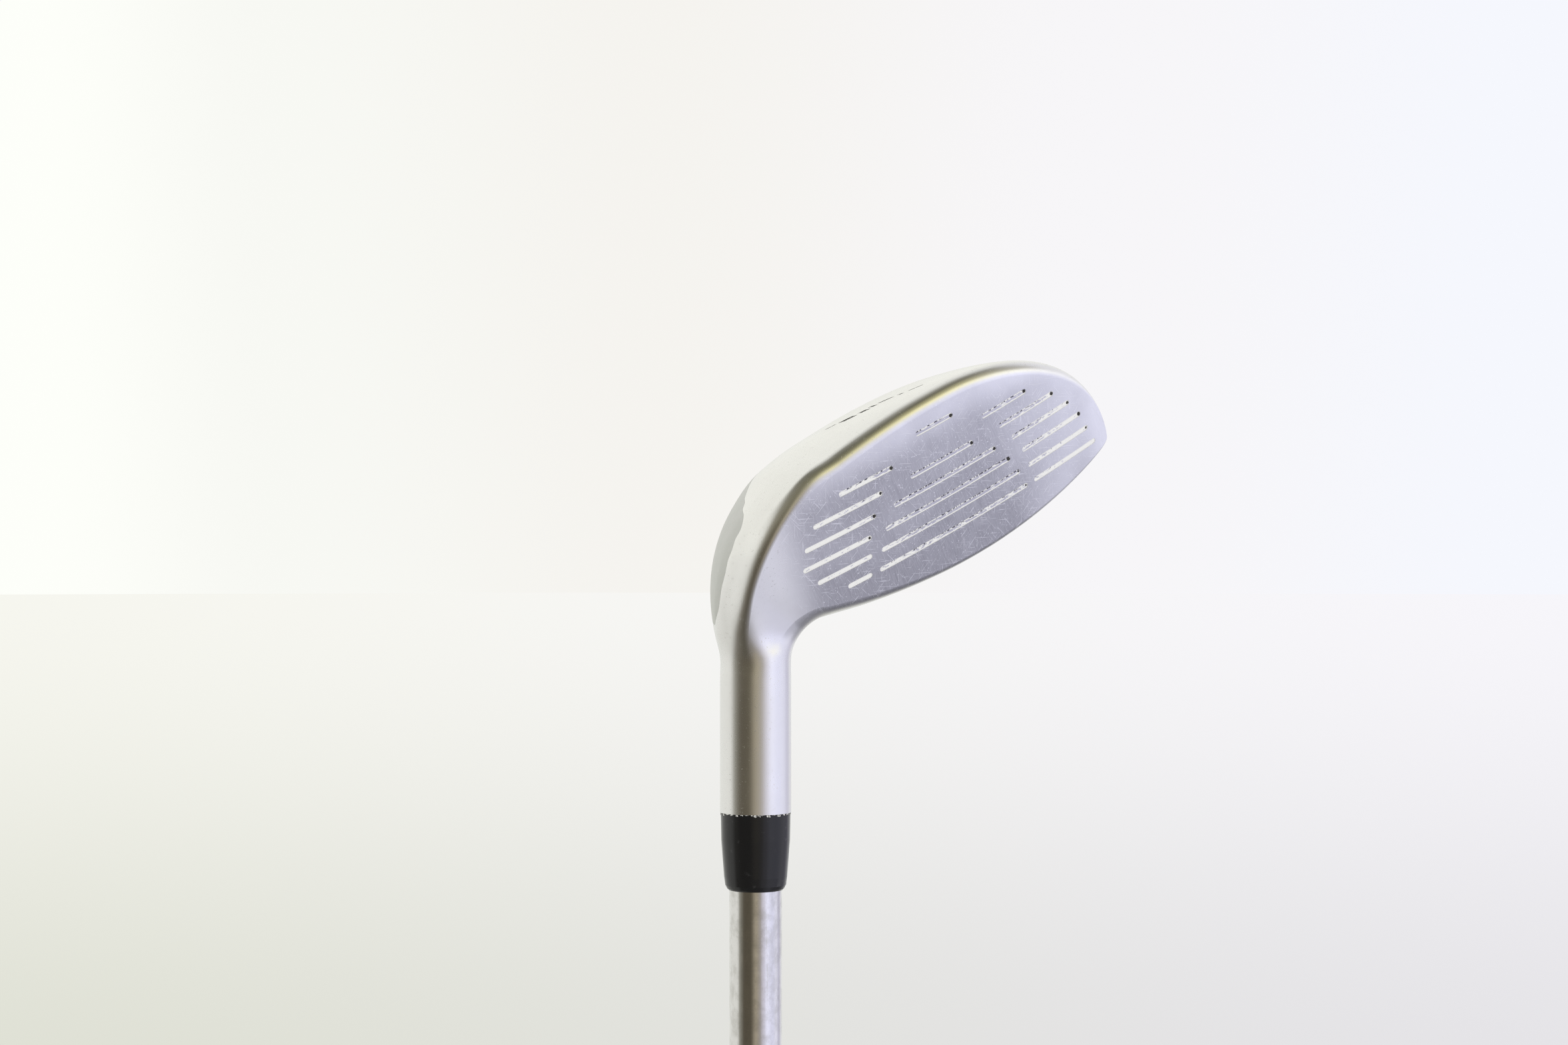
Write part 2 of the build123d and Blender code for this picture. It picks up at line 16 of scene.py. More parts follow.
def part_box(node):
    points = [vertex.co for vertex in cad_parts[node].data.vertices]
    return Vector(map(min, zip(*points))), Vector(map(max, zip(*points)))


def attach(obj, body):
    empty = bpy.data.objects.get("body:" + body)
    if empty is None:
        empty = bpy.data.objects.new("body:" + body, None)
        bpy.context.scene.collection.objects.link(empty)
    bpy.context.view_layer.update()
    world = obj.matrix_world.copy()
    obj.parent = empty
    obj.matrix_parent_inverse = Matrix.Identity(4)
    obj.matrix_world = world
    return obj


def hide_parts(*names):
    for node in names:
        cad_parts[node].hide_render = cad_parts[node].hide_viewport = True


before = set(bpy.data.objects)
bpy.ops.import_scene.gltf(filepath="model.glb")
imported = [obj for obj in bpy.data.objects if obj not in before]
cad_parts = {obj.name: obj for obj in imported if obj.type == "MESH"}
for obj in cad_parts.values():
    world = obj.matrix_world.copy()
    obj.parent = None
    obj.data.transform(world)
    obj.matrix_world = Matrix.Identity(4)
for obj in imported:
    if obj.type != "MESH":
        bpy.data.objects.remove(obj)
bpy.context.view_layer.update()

MM = 0.001

# ---------------------------------------------------------------- measures of the club (mm, degrees)
club_length = 1016.0
lie = math.radians(63.5)
loft = math.radians(19.0)
face_centre = (26.1, -12.5, 20.0)   # toe, rear, up
face_radius = 314.0
toe_tip = (65.3, -3.0, 29.8)
deepest_toe = 29.5
leading_edge_height = 6.7
heel_camber_radius = 136.0
topline_height = 37.9
topline_toe = 30.0
topline_radius = 135.0
topline_fullness = 3.0
rear_depth = 28.5
rear_height = 20.0
heel_reach = 45.5
sole_fall = 8.5
sole_low_offsets = (15.0, 2.2, 1.8)
sole_flatness = (1.1, 1.05, 0.35)
sole_toe_reach = 25.0
crown_rise = 14.0
edge_radius = 2.5
topline_edge_radius = 1.5
topline_heel_edge_radius = 3.2
edge_break = 5.0
hosel_radius = 6.36
hosel_end = 66.2
hosel_straight = 42.5
heel_pivot = (16.0, 38.54)
fan_turns = (0, 12, 26, 40, 52)
skin_toes = (6, 16, 26, 36, 45, 52.5, 58, 61.5, 63.6, 64.7, 65.15, 65.28)
patch_steps = 14                    # divisions of each curved patch of the skin
smooth_limit = math.radians(30.0)   # edges that turn less than this are shaded smooth

slot_pitch = 3.6
shaft_tip_radius = 4.7
shaft_butt_radius = 7.62
shaft_wall = 0.42
shaft_steps = 16
step_length = 38.1
first_step = 742.0
step_taper = 1.2
grip_profile = [(8.0, 13.6), (40.0, 13.2), (120.0, 11.9), (200.0, 10.6), (250.0, 9.6), (267.0, 8.8)]
grip_mouth = (6.0, 7.05)            # depth and radius of the bore at the grip's mouth
grip_slack = 0.25                   # from the shaft to the grip's bore: its tape and a hair of room
grip_relief_depth = 0.42
grip_rings = (10.5, 13.0, 100.0, 103.0, 106.0, 176.0, 179.0, 182.0, 206.0, 244.0, 247.0, 250.0, 262.0)
knurled = ((16.0, 97.0), (185.0, 203.0))
dashed = (109.0, 173.0)
dash_pitch = 3.2
chip_radius = 6.285                 # just proud of the ferrule

# toe ends of the score lines with painted shadow, the shade of their end walls: the line's row,
# and its place along the toe from the middle of the face (mm)
shaded_slot_ends = (
    (-3, 4.3), (-2, -10.4), (-2, 21.5), (-1, 7.4), (-1, -13.7), (-1, 27.7), (0, 12.1), (0, -16.0),
    (0, 31.1), (1, 14.8), (1, -17.9), (1, 33.4), (2, 16.5), (2, 34.6), (3, 17.7),
)
shadow_inset = 0.44                   # from the end of a line to the middle of its painted shadow
shadow_sides = 9

# ---------------------------------------------------------------- the head's axes
toe_axis = np.array([math.sin(lie), 0, math.cos(lie)])
rear_axis = np.array([0, 1.0, 0])
up_axis = np.array([math.cos(lie), 0, -math.sin(lie)])
ground_point = np.array([0, 0, club_length])
pivot = np.array([heel_pivot[0], 0, club_length - heel_pivot[1]])


def head_point(toe, rear, up):
    return ground_point + toe_axis * toe + rear_axis * rear + up_axis * up


face_origin = head_point(*face_centre)
face_normal = up_axis * math.sin(loft) - rear_axis * math.cos(loft)
face_up = up_axis * math.cos(loft) + rear_axis * math.sin(loft)
sphere_centre = face_origin - face_normal * face_radius
pivot_toe = float((pivot - ground_point) @ toe_axis)
pivot_up = float((pivot - ground_point) @ up_axis)


# ---------------------------------------------------------------- the head's outside, as in the CAD
# A section is six joints in a plane: (rear, out, angle in, angle out, fullness in, fullness out).

def joint(rear, out, angle_in, angle_out=None, full_in=1.0, full_out=1.0):
    return (rear, out, angle_in, angle_in if angle_out is None else angle_out, full_in, full_out)


def polar(radius, angle):
    return radius * math.cos(math.radians(angle)), radius * math.sin(math.radians(angle))


def blend(first, second, share):
    return tuple(a + (b - a) * share for a, b in zip(first, second))


def ease(value):
    value = min(max(value, 0.0), 1.0)
    return value * value * (3 - 2 * value)


def oval(share, power):
    return max(0.0, 1 - share ** power) ** (1 / power)


def face_rear(toe, up):
    offset = sphere_centre - ground_point
    across = (toe - offset @ toe_axis) ** 2 + (up - offset @ up_axis) ** 2
    return offset[1] - math.sqrt(face_radius ** 2 - across)


def toe_share(toe):
    return max(0.0, (toe - deepest_toe) / (toe_tip[0] - deepest_toe))


def heel_share(toe):
    return max(0.0, (deepest_toe - toe) / (deepest_toe - pivot_toe))


def face_bottom_height(toe):
    if toe > deepest_toe:
        return toe_tip[2] - (toe_tip[2] - leading_edge_height) * oval(toe_share(toe), 2)
    return leading_edge_height + (deepest_toe - toe) ** 2 / (2 * heel_camber_radius)


def topline(toe):
    arc = topline_height - (toe - topline_toe) ** 2 / (2 * topline_radius)
    return toe_tip[2] + (arc - toe_tip[2]) * oval(toe_share(toe), topline_fullness)


def rear_outline(toe):
    share = toe_share(toe) if toe > deepest_toe else (deepest_toe - toe) / heel_reach
    return toe_tip[1] + (rear_depth - toe_tip[1]) * oval(share, 2.2)


def corner(rear, out, angle, end_angle, radius):
    centre_rear, centre_out = polar(radius, angle - 90)
    end_rear, end_out = polar(radius, end_angle + 90)
    return rear + centre_rear + end_rear, out + centre_out + end_out


def circle_joints(centre_out):
    joints = []
    for angle in (218, 172, 100, 0, -70, -108):
        rear, out = polar(hosel_radius, angle)
        joints.append(joint(rear, centre_out + out, angle - 90))
    return joints


def along_sole(toe, values):
    heel_value, middle_value, toe_value = values
    if toe < deepest_toe:
        return middle_value + (heel_value - middle_value) * min(1.0, heel_share(toe))
    share = min(1.0, (toe - deepest_toe) / sole_toe_reach)
    return middle_value + (toe_value - middle_value) * share


def head_joints(toe):
    roundness = oval(toe_share(toe), 2)
    low_radius = edge_radius * (0.85 + 0.15 * roundness)
    heel_extra = (topline_heel_edge_radius - topline_edge_radius) * heel_share(toe)
    top_radius = (topline_edge_radius + heel_extra) * (0.3 + 0.7 * roundness)
    low = face_bottom_height(toe)
    high = topline(toe) - 0.75 * top_radius * roundness
    low_rear = face_rear(toe, low)
    high_rear = face_rear(toe, high)
    chord_angle = math.degrees(math.atan2(high - low, high_rear - low_rear))
    half_roll = math.degrees((high - low) / 2 / face_radius)
    low_angle = chord_angle + half_roll
    high_angle = chord_angle - half_roll
    crown_angle = crown_rise + 12 * (1 - roundness)
    crown = corner(high_rear, high, high_angle - edge_break, crown_angle, top_radius)
    sole_angle = 180 - sole_fall - 14 * (1 - roundness) - 360
    sole = corner(low_rear, low, low_angle + edge_break, sole_angle, low_radius)
    rear = rear_outline(toe)
    rear_up = rear_height + (toe_tip[2] - rear_height) * toe_share(toe) ** 2.5
    rear_up += 3.0 * heel_share(toe) ** 2
    low_offset = min(along_sole(toe, sole_low_offsets), 0.3 * (rear - sole[0]))
    drop = low_offset * math.tan(math.radians(sole_fall / 2))
    return [
        joint(low_rear, low, low_angle + edge_break, low_angle),
        joint(high_rear, high, high_angle, high_angle - edge_break),
        joint(crown[0], crown[1], crown_angle, full_out=1.2),
        joint(rear, rear_up, -90, full_in=0.8, full_out=0.75),
        joint(sole[0] + low_offset, sole[1] - drop, -180, full_in=along_sole(toe, sole_flatness)),
        joint(sole[0], sole[1], sole_angle),
    ]


def hosel_place(distance):
    """Origin and outward direction of a section across the hosel."""
    return np.array([0, 0, club_length - distance]), np.array([1.0, 0, 0])


def fan_place(turn):
    angle = math.radians(turn)
    return pivot, np.array([math.cos(angle), 0, -math.sin(angle)])


def toe_place(toe):
    return head_point(toe, 0, 0), up_axis


def fan_joints(turn):
    hosel = circle_joints(-pivot[0])
    head = [joint(j[0], j[1] - pivot_up, *j[2:]) for j in head_joints(pivot_toe)]
    share = turn / math.degrees(lie)
    growth = (1.4, 1.15, 1.15, 1.15, 1.15, 1.4)
    mixed = [blend(a, b, share ** power) for a, b, power in zip(hosel, head, growth)]
    on_face = ease(turn / 26.0)
    origin, outward = fan_place(turn)
    for index in (0, 1):
        place = origin + rear_axis * mixed[index][0] + outward * mixed[index][1] - ground_point
        toe, up = place @ toe_axis, place @ up_axis
        rear = face_rear(toe, up)
        step = place + outward
        slope = math.degrees(math.atan2(1.0, face_rear(step @ toe_axis, step @ up_axis) - rear))
        breaks = (slope + edge_break, slope) if index == 0 else (slope, slope - edge_break)
        flat = (rear, mixed[index][1], *breaks, 1.0, 1.0)
        mixed[index] = blend(mixed[index], flat, on_face)
    return mixed


def arc_share(turn):
    turn = math.radians(abs(turn))
    if turn < 0.001:
        return 1 / 3
    return 2 / 3 * math.tan(turn / 4) / math.sin(turn / 2)


def section_curves(place, joints):
    """Control points of a section's six edges: an array of 6 x 4 x 3."""
    origin, outward = place
    curves = []
    for index, start in enumerate(joints):
        end = joints[(index + 1) % len(joints)]
        full_turn = 360 if index == len(joints) - 1 else 0
        chord = math.hypot(end[0] - start[0], end[1] - start[1])
        handle = chord * arc_share(end[2] - full_turn - start[3])
        out_rear, out_up = polar(handle * start[5], start[3])
        in_rear, in_up = polar(handle * end[4], end[2])
        flat = (
            (start[0], start[1]),
            (start[0] + out_rear, start[1] + out_up),
            (end[0] - in_rear, end[1] - in_up),
            (end[0], end[1]),
        )
        curves.append([origin + rear_axis * rear + outward * out for rear, out in flat])
    return np.array(curves)


def head_sections():
    sections = [section_curves(hosel_place(d), circle_joints(0.0)) for d in (hosel_end, hosel_straight)]
    sections += [section_curves(fan_place(turn), fan_joints(turn)) for turn in fan_turns]
    sections += [section_curves(toe_place(toe), head_joints(toe)) for toe in (pivot_toe, *skin_toes)]
    return sections


def section_slopes(sections, lengths):
    """Rate of travel of every control point along the head, at each section."""
    straight = np.broadcast_to(np.array([0, 0, 1.0]), sections[0].shape)
    slopes = [straight, straight]
    for index in range(2, len(sections) - 1):
        before = (sections[index] - sections[index - 1]) / lengths[index - 1]
        after = (sections[index + 1] - sections[index]) / lengths[index]
        weight = lengths[index - 1] / (lengths[index - 1] + lengths[index])
        slopes.append(before * (1 - weight) + after * weight)
    slopes.append((sections[-1] - sections[-2]) / lengths[-1])
    return slopes


def bernstein(values):
    rest = 1 - values
    return np.stack([rest ** 3, 3 * values * rest ** 2, 3 * values ** 2 * rest, values ** 3], 1)


def bernstein_slope(values):
    rest = 1 - values
    return np.stack([
        -3 * rest ** 2,
        3 * rest ** 2 - 6 * values * rest,
        6 * values * rest - 3 * values ** 2,
        3 * values ** 2,
    ], 1)


def head_skin():
    """Points, normals and quads of the head's outside, finely divided and exact (mm)."""
    sections = head_sections()
    lengths = []
    for first, second in zip(sections, sections[1:]):
        lengths.append(float(np.linalg.norm(first - second, axis=2).mean()))
    slopes = section_slopes(sections, lengths)
    ticks = np.linspace(0, 1, patch_steps + 1)
    along, along_slope = bernstein(ticks), bernstein_slope(ticks)
    side = patch_steps + 1
    points, normals, quads = [], [], []
    for index in range(len(sections) - 1):
        third = lengths[index] / 3
        for edge in range(6):
            net = np.array([
                sections[index][edge],
                sections[index][edge] + slopes[index][edge] * third,
                sections[index + 1][edge] - slopes[index + 1][edge] * third,
                sections[index + 1][edge],
            ])
            place = np.einsum("ai,bj,ijk->abk", along, along, net)
            lengthwise = np.einsum("ai,bj,ijk->abk", along_slope, along, net)
            across = np.einsum("ai,bj,ijk->abk", along, along_slope, net)
            normal = np.cross(across, lengthwise)
            normal /= np.maximum(np.linalg.norm(normal, axis=2, keepdims=True), 1e-9)
            start = len(points) * side * side
            points.append(place.reshape(-1, 3))
            normals.append(normal.reshape(-1, 3))
            for row in range(patch_steps):
                for column in range(patch_steps):
                    first = start + row * side + column
                    quads.append((first, first + 1, first + side + 1, first + side))
    return np.concatenate(points), np.concatenate(normals), quads


# ---------------------------------------------------------------- meshes
skin_points, skin_normals, skin_quads = head_skin()
skin_tree = BVHTree.FromPolygons([Vector(p) for p in skin_points], skin_quads)
skin_reach = 0.05                   # a face this near the skin (mm) is part of the outside


def skin_normal(point):
    """Exact outward normal of the head under a point given in mm, and its distance."""
    place, _, index, distance = skin_tree.find_nearest(point)
    quad = skin_quads[index]
    weights = poly_3d_calc([Vector(skin_points[i]) for i in quad], place)
    normal = sum((Vector(skin_normals[i]) * w for i, w in zip(quad, weights)), Vector())
    return normal.normalized(), distance


def new_piece(name, vertices, faces):
    mesh = bpy.data.meshes.new(name)
    mesh.from_pydata(vertices, [], faces)
    mesh.validate()
    mesh.shade_smooth()
    mesh.set_sharp_from_angle(angle=smooth_limit)
    piece = bpy.data.objects.new(name, mesh)
    bpy.context.scene.collection.objects.link(piece)
    return piece


def welded(node):
    """Vertices and triangles of a CAD node, joined across the edges of its faces."""
    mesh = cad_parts[node].data
    places = np.empty(len(mesh.vertices) * 3)
    mesh.vertices.foreach_get("co", places)
    keys = np.round(places.reshape(-1, 3) * 1e6).astype(np.int64)
    _, first, inverse = np.unique(keys, axis=0, return_index=True, return_inverse=True)
    inverse = inverse.ravel()
    vertices = places.reshape(-1, 3)[first]
    triangles = []
    for polygon in mesh.polygons:
        corners = [int(inverse[v]) for v in polygon.vertices]
        if len(set(corners)) == len(corners):
            triangles.append(corners)
    return vertices, triangles


def skin_piece(node, name):
    """A part of the head with its outside shaded by the exact normals of the skin."""
    vertices, triangles = welded(node)
    piece = new_piece(name, vertices, triangles)
    mesh = piece.data
    normals = [Vector(corner.vector) for corner in mesh.corner_normals]
    nudge = 0.02
    for polygon in mesh.polygons:
        centre = polygon.center / MM
        exact, distance = skin_normal(centre)
        if distance > skin_reach or exact.dot(polygon.normal) < 0.85:
            continue
        for loop in polygon.loop_indices:
            point = mesh.vertices[mesh.loops[loop].vertex_index].co / MM
            exact, _ = skin_normal(point.lerp(centre, nudge))
            normals[loop] = exact
    mesh.normals_split_custom_set(normals)
    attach(piece, "root")
    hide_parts(node)
    return piece


def lathe(name, outline, sides, node):
    """A turned piece from a closed outline of (height, radius) points in mm, in place of a CAD node."""
    vertices, faces = [], []
    for height, radius in outline:
        for side in range(sides):
            angle = 2 * math.pi * side / sides
            vertices.append((radius * math.cos(angle) * MM, radius * math.sin(angle) * MM, height * MM))
    rings = len(outline)
    for ring in range(rings):
        above = (ring + 1) % rings
        for side in range(sides):
            beside = (side + 1) % sides
            faces.append((ring * sides + side, ring * sides + beside,
                          above * sides + beside, above * sides + side))
    piece = new_piece(name, vertices, faces)
    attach(piece, "root")
    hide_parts(node)
    return piece


def shaft_outline(offset, bottom, top):
    growth = (shaft_butt_radius - shaft_tip_radius) / shaft_steps
    radius = shaft_butt_radius + offset
    points = [(bottom, radius)]
    for index in range(shaft_steps):
        height = first_step - (shaft_steps - 1 - index) * step_length
        if bottom < height < top - step_taper:
            points.append((height, radius))
            points.append((height + step_taper, radius - growth))
        radius -= growth
        if height + step_taper <= bottom:
            points[0] = (bottom, radius)
    points.append((top, points[-1][1]))
    return points


def make_shaft():
    """The shaft as a stepped tube, rounder than the CAD's."""
    low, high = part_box("shaft")
    bottom, top = low.z / MM, high.z / MM
    outside = shaft_outline(0.0, bottom, top)
    inside = shaft_outline(-shaft_wall, bottom, top)
    return lathe("steel_shaft", outside + inside[::-1], 96, "shaft")


def grip_radius(height):
    for (low, low_radius), (high, high_radius) in zip(grip_profile, grip_profile[1:]):
        if height <= high:
            return low_radius + (high_radius - low_radius) * (height - low) / (high - low)
    return grip_profile[-1][1]


def make_chips():
    """Pale flecks of glue and paint along the joint between ferrule and hosel."""
    rng = random.Random(11)
    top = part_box("ferrule")[1].z / MM
    vertices, faces = [], []
    angle = 0.0
    while angle < 2 * math.pi:
        width = rng.uniform(0.02, 0.16)
        low = top - rng.uniform(0.05, 0.42)
        proud = chip_radius + rng.uniform(0.0, 0.03)
        cuts = 4
        start = len(vertices)
        for step in range(cuts + 1):
            turn = angle + width * step / cuts
            dip = low + rng.uniform(-0.08, 0.08)
            for radius, height in ((6.15, top), (proud, top + 0.05), (proud, dip), (6.1, dip - 0.03)):
                across, deep = radius * math.cos(turn), radius * math.sin(turn)
                vertices.append((across * MM, deep * MM, height * MM))
        for step in range(cuts):
            base = start + step * 4
            for edge in range(4):
                beside = (edge + 1) % 4
                faces.append((base + edge, base + beside, base + 4 + beside, base + 4 + edge))
        faces.append((start + 3, start + 2, start + 1, start))
        last = start + cuts * 4
        faces.append((last, last + 1, last + 2, last + 3))
        angle += width + rng.uniform(0.0, 0.12)
    piece = new_piece("joint_chips", vertices, faces)
    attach(piece, "root")
    return piece


def make_end_shadows():
    """Painted shadow: dark patches in the toe ends of the score lines, the shade of their end walls."""
    rng = random.Random(23)
    sides = shadow_sides
    vertices, faces = [], []
    for row, end in shaded_slot_ends:
        size = rng.uniform(0.26, 0.38) if row < 2 else rng.uniform(0.14, 0.24)
        flat = toe_axis * (end - shadow_inset) + face_up * (row * slot_pitch + rng.uniform(-0.05, 0.05))
        out = face_radius - 0.03
        reach = math.sqrt(out ** 2 - float(flat @ flat))
        centre = sphere_centre + flat + face_normal * reach
        start = len(vertices)
        for depth in (0.0, 0.3):
            for side in range(sides):
                turn = 2 * math.pi * side / sides
                radius = size * rng.uniform(0.8, 1.15)
                rim = toe_axis * math.cos(turn) * radius + face_up * math.sin(turn) * radius
                vertices.append(tuple((centre + rim - face_normal * depth) * MM))
        faces.append(tuple(range(start, start + sides)))
        for side in range(sides):
            beside = (side + 1) % sides
            faces.append((start + side, start + sides + side, start + sides + beside, start + beside))
        faces.append(tuple(range(start + 2 * sides - 1, start + sides - 1, -1)))
    piece = new_piece("slot_end_shadows", vertices, faces)
    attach(piece, "root")
    return piece


def groove(distance, half_width):
    """Depth share of a round-bottomed groove at a distance from its middle."""
    share = abs(distance) / half_width
    return math.sqrt(1 - share * share) if share < 1 else 0.0


def near_line(value):
    """Distance from a value to the nearest whole number."""
    return abs(value - round(value))


def grip_relief(angle, height):
    """Depth of the moulded pattern, 0 to 1, at a place on the grip."""
    for ring in grip_rings:
        if abs(height - ring) < 0.9:
            return 0.9 * groove(height - ring, 0.8)
    turn = angle / (2 * math.pi)
    if any(low < height < high for low, high in knurled):
        pitch = height / 8.0
        crossing = min(near_line(turn * 14 + pitch), near_line(turn * 14 - pitch))
        return 0.75 * groove(crossing, 0.13)
    if dashed[0] < height < dashed[1]:
        row = (height - dashed[0]) / dash_pitch
        dash = near_line(turn * 18 + 0.5 * (int(row) % 2))
        if dash < 0.33:
            return 0.85 * groove(row - int(row) - 0.5, 0.3)
    return 0.0


def make_grip():
    """The grip, turned, with its moulded pattern pressed into the outside."""
    sides, rows = 168, 560
    low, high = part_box("grip_sleeve")
    bottom, top = low.z / MM, high.z / MM
    inner_radius = shaft_butt_radius + grip_slack
    mouth_depth, mouth_radius = grip_mouth
    outline = []
    for row in range(rows + 1):
        height = bottom + (top - bottom) * row / rows
        outline.append((height, grip_radius(height)))
    bore = [(top, mouth_radius), (top - mouth_depth, mouth_radius),
            (bottom + mouth_depth, inner_radius), (bottom, inner_radius)]
    piece = lathe("grip_rubber", outline + bore, sides, "grip_sleeve")
    for ring, (height, radius) in enumerate(outline):
        lip = min(1.0, (top - height) / 0.8)
        edge = 0.5 * (1 - math.sqrt(max(0.0, 1 - (1 - lip) ** 2)))
        for side in range(sides):
            angle = 2 * math.pi * side / sides
            depth = grip_relief_depth * grip_relief(angle, height) + edge
            vertex = piece.data.vertices[ring * sides + side]
            share = (radius - depth) / radius
            vertex.co.x *= share
            vertex.co.y *= share
    piece.data.update()
    return piece


# ---------------------------------------------------------------- material helpers
class Shader:
    """A material's node tree, with short ways to add what the surfaces here share."""

    def __init__(self, name, **sockets):
        self.material = bpy.data.materials.new(name)
        self.material.use_nodes = True
        self.tree = self.material.node_tree
        self.bsdf = self.tree.nodes["Principled BSDF"]
        self.place = self.node("ShaderNodeTexCoord").outputs["Object"]
        for socket, value in sockets.items():
            self.bsdf.inputs[socket.replace("_", " ")].default_value = value

    def node(self, kind, inputs=(), **settings):
        node = self.tree.nodes.new(kind)
        for setting, value in settings.items():
            setattr(node, setting, value)
        for socket, value in dict(inputs).items():
            self.feed(value, node.inputs[socket])
        return node

    def feed(self, value, socket):
        if isinstance(value, bpy.types.NodeSocket):
            self.tree.links.new(value, socket)
        else:
            socket.default_value = value

    def set(self, socket, value):
        self.feed(value, self.bsdf.inputs[socket])

    def math(self, operation, first, second=0.0, clamp=False):
        return self.node("ShaderNodeMath", {0: first, 1: second}, operation=operation,
                         use_clamp=clamp).outputs[0]

    def vector(self, operation, first, second):
        node = self.node("ShaderNodeVectorMath", {0: first, 1: second}, operation=operation)
        return node.outputs["Value" if operation in ("DOT_PRODUCT", "DISTANCE") else "Vector"]

    def millimetres(self):
        """Row-frame place in mm."""
        return self.vector("MULTIPLY", self.place, (1 / MM, 1 / MM, 1 / MM))

    def head_place(self, stretch=(1, 1, 1), slant=0.0):
        """Place in mm along the toe, up the face and out of it, stretched and turned on the face."""
        offset = self.vector("SUBTRACT", self.place, face_origin * MM)
        c, s = math.cos(math.radians(slant)), math.sin(math.radians(slant))
        axes = (toe_axis * c + face_up * s, face_up * c - toe_axis * s, face_normal)
        parts = {}
        for index, (axis, size) in enumerate(zip(axes, stretch)):
            parts[index] = self.vector("DOT_PRODUCT", offset, axis * size / MM)
        return self.node("ShaderNodeCombineXYZ", parts).outputs[0]

    def turned_place(self, around, along):
        """Place on a turned piece: angle round the axis and height, each scaled (per turn, per mm)."""
        parts = self.node("ShaderNodeSeparateXYZ", {0: self.place}).outputs
        angle = self.math("ARCTAN2", parts[1], parts[0])
        scaled = {0: self.math("MULTIPLY", self.math("COSINE", angle), around / 6.3),
                  1: self.math("MULTIPLY", self.math("SINE", angle), around / 6.3),
                  2: self.math("MULTIPLY", parts[2], along / MM)}
        return self.node("ShaderNodeCombineXYZ", scaled).outputs[0]

    def noise(self, vector, scale=1.0, detail=2.0, roughness=0.5):
        inputs = {"Vector": vector, "Scale": scale, "Detail": detail, "Roughness": roughness}
        return self.node("ShaderNodeTexNoise", inputs).outputs["Fac"]

    def span(self, value, low, high, new_low=0.0, new_high=1.0):
        """Value from low to high, eased and clamped to new_low..new_high."""
        inputs = {"Value": value, "From Min": low, "From Max": high,
                  "To Min": new_low, "To Max": new_high}
        return self.node("ShaderNodeMapRange", inputs, interpolation_type="SMOOTHSTEP").outputs["Result"]

    def mix(self, share, first, second):
        """Colour from first (share 0) to second (share 1)."""
        node = self.node("ShaderNodeMix", data_type="RGBA")
        self.feed(share, node.inputs["Factor"])
        self.feed(colour(first), node.inputs["A"])
        self.feed(colour(second), node.inputs["B"])
        return node.outputs["Result"]

    def ramp(self, value, stops):
        """Colours along a value from 0 to 1, eased from stop to stop."""
        node = self.node("ShaderNodeValToRGB", {0: value})
        node.color_ramp.interpolation = "EASE"
        elements = node.color_ramp.elements
        while len(elements) < len(stops):
            elements.new(0.5)
        for element, (place, tint) in zip(elements, stops):
            element.position = place
            element.color = colour(tint)
        return node.outputs["Color"]

    def bump(self, *layers):
        """Bump from (height, distance in mm) layers, each added to the one before."""
        normal = None
        for height, distance in layers:
            inputs = {"Height": height, "Distance": distance * MM, "Strength": 1.0}
            if normal is not None:
                inputs["Normal"] = normal
            normal = self.node("ShaderNodeBump", inputs).outputs["Normal"]
        self.set("Normal", normal)

    def give(self, piece):
        piece.data.materials.clear()
        piece.data.materials.append(self.material)


def colour(value):
    """RGB to RGBA; sockets pass through."""
    if isinstance(value, bpy.types.NodeSocket) or len(value) == 4:
        return value
    return (*value, 1.0)


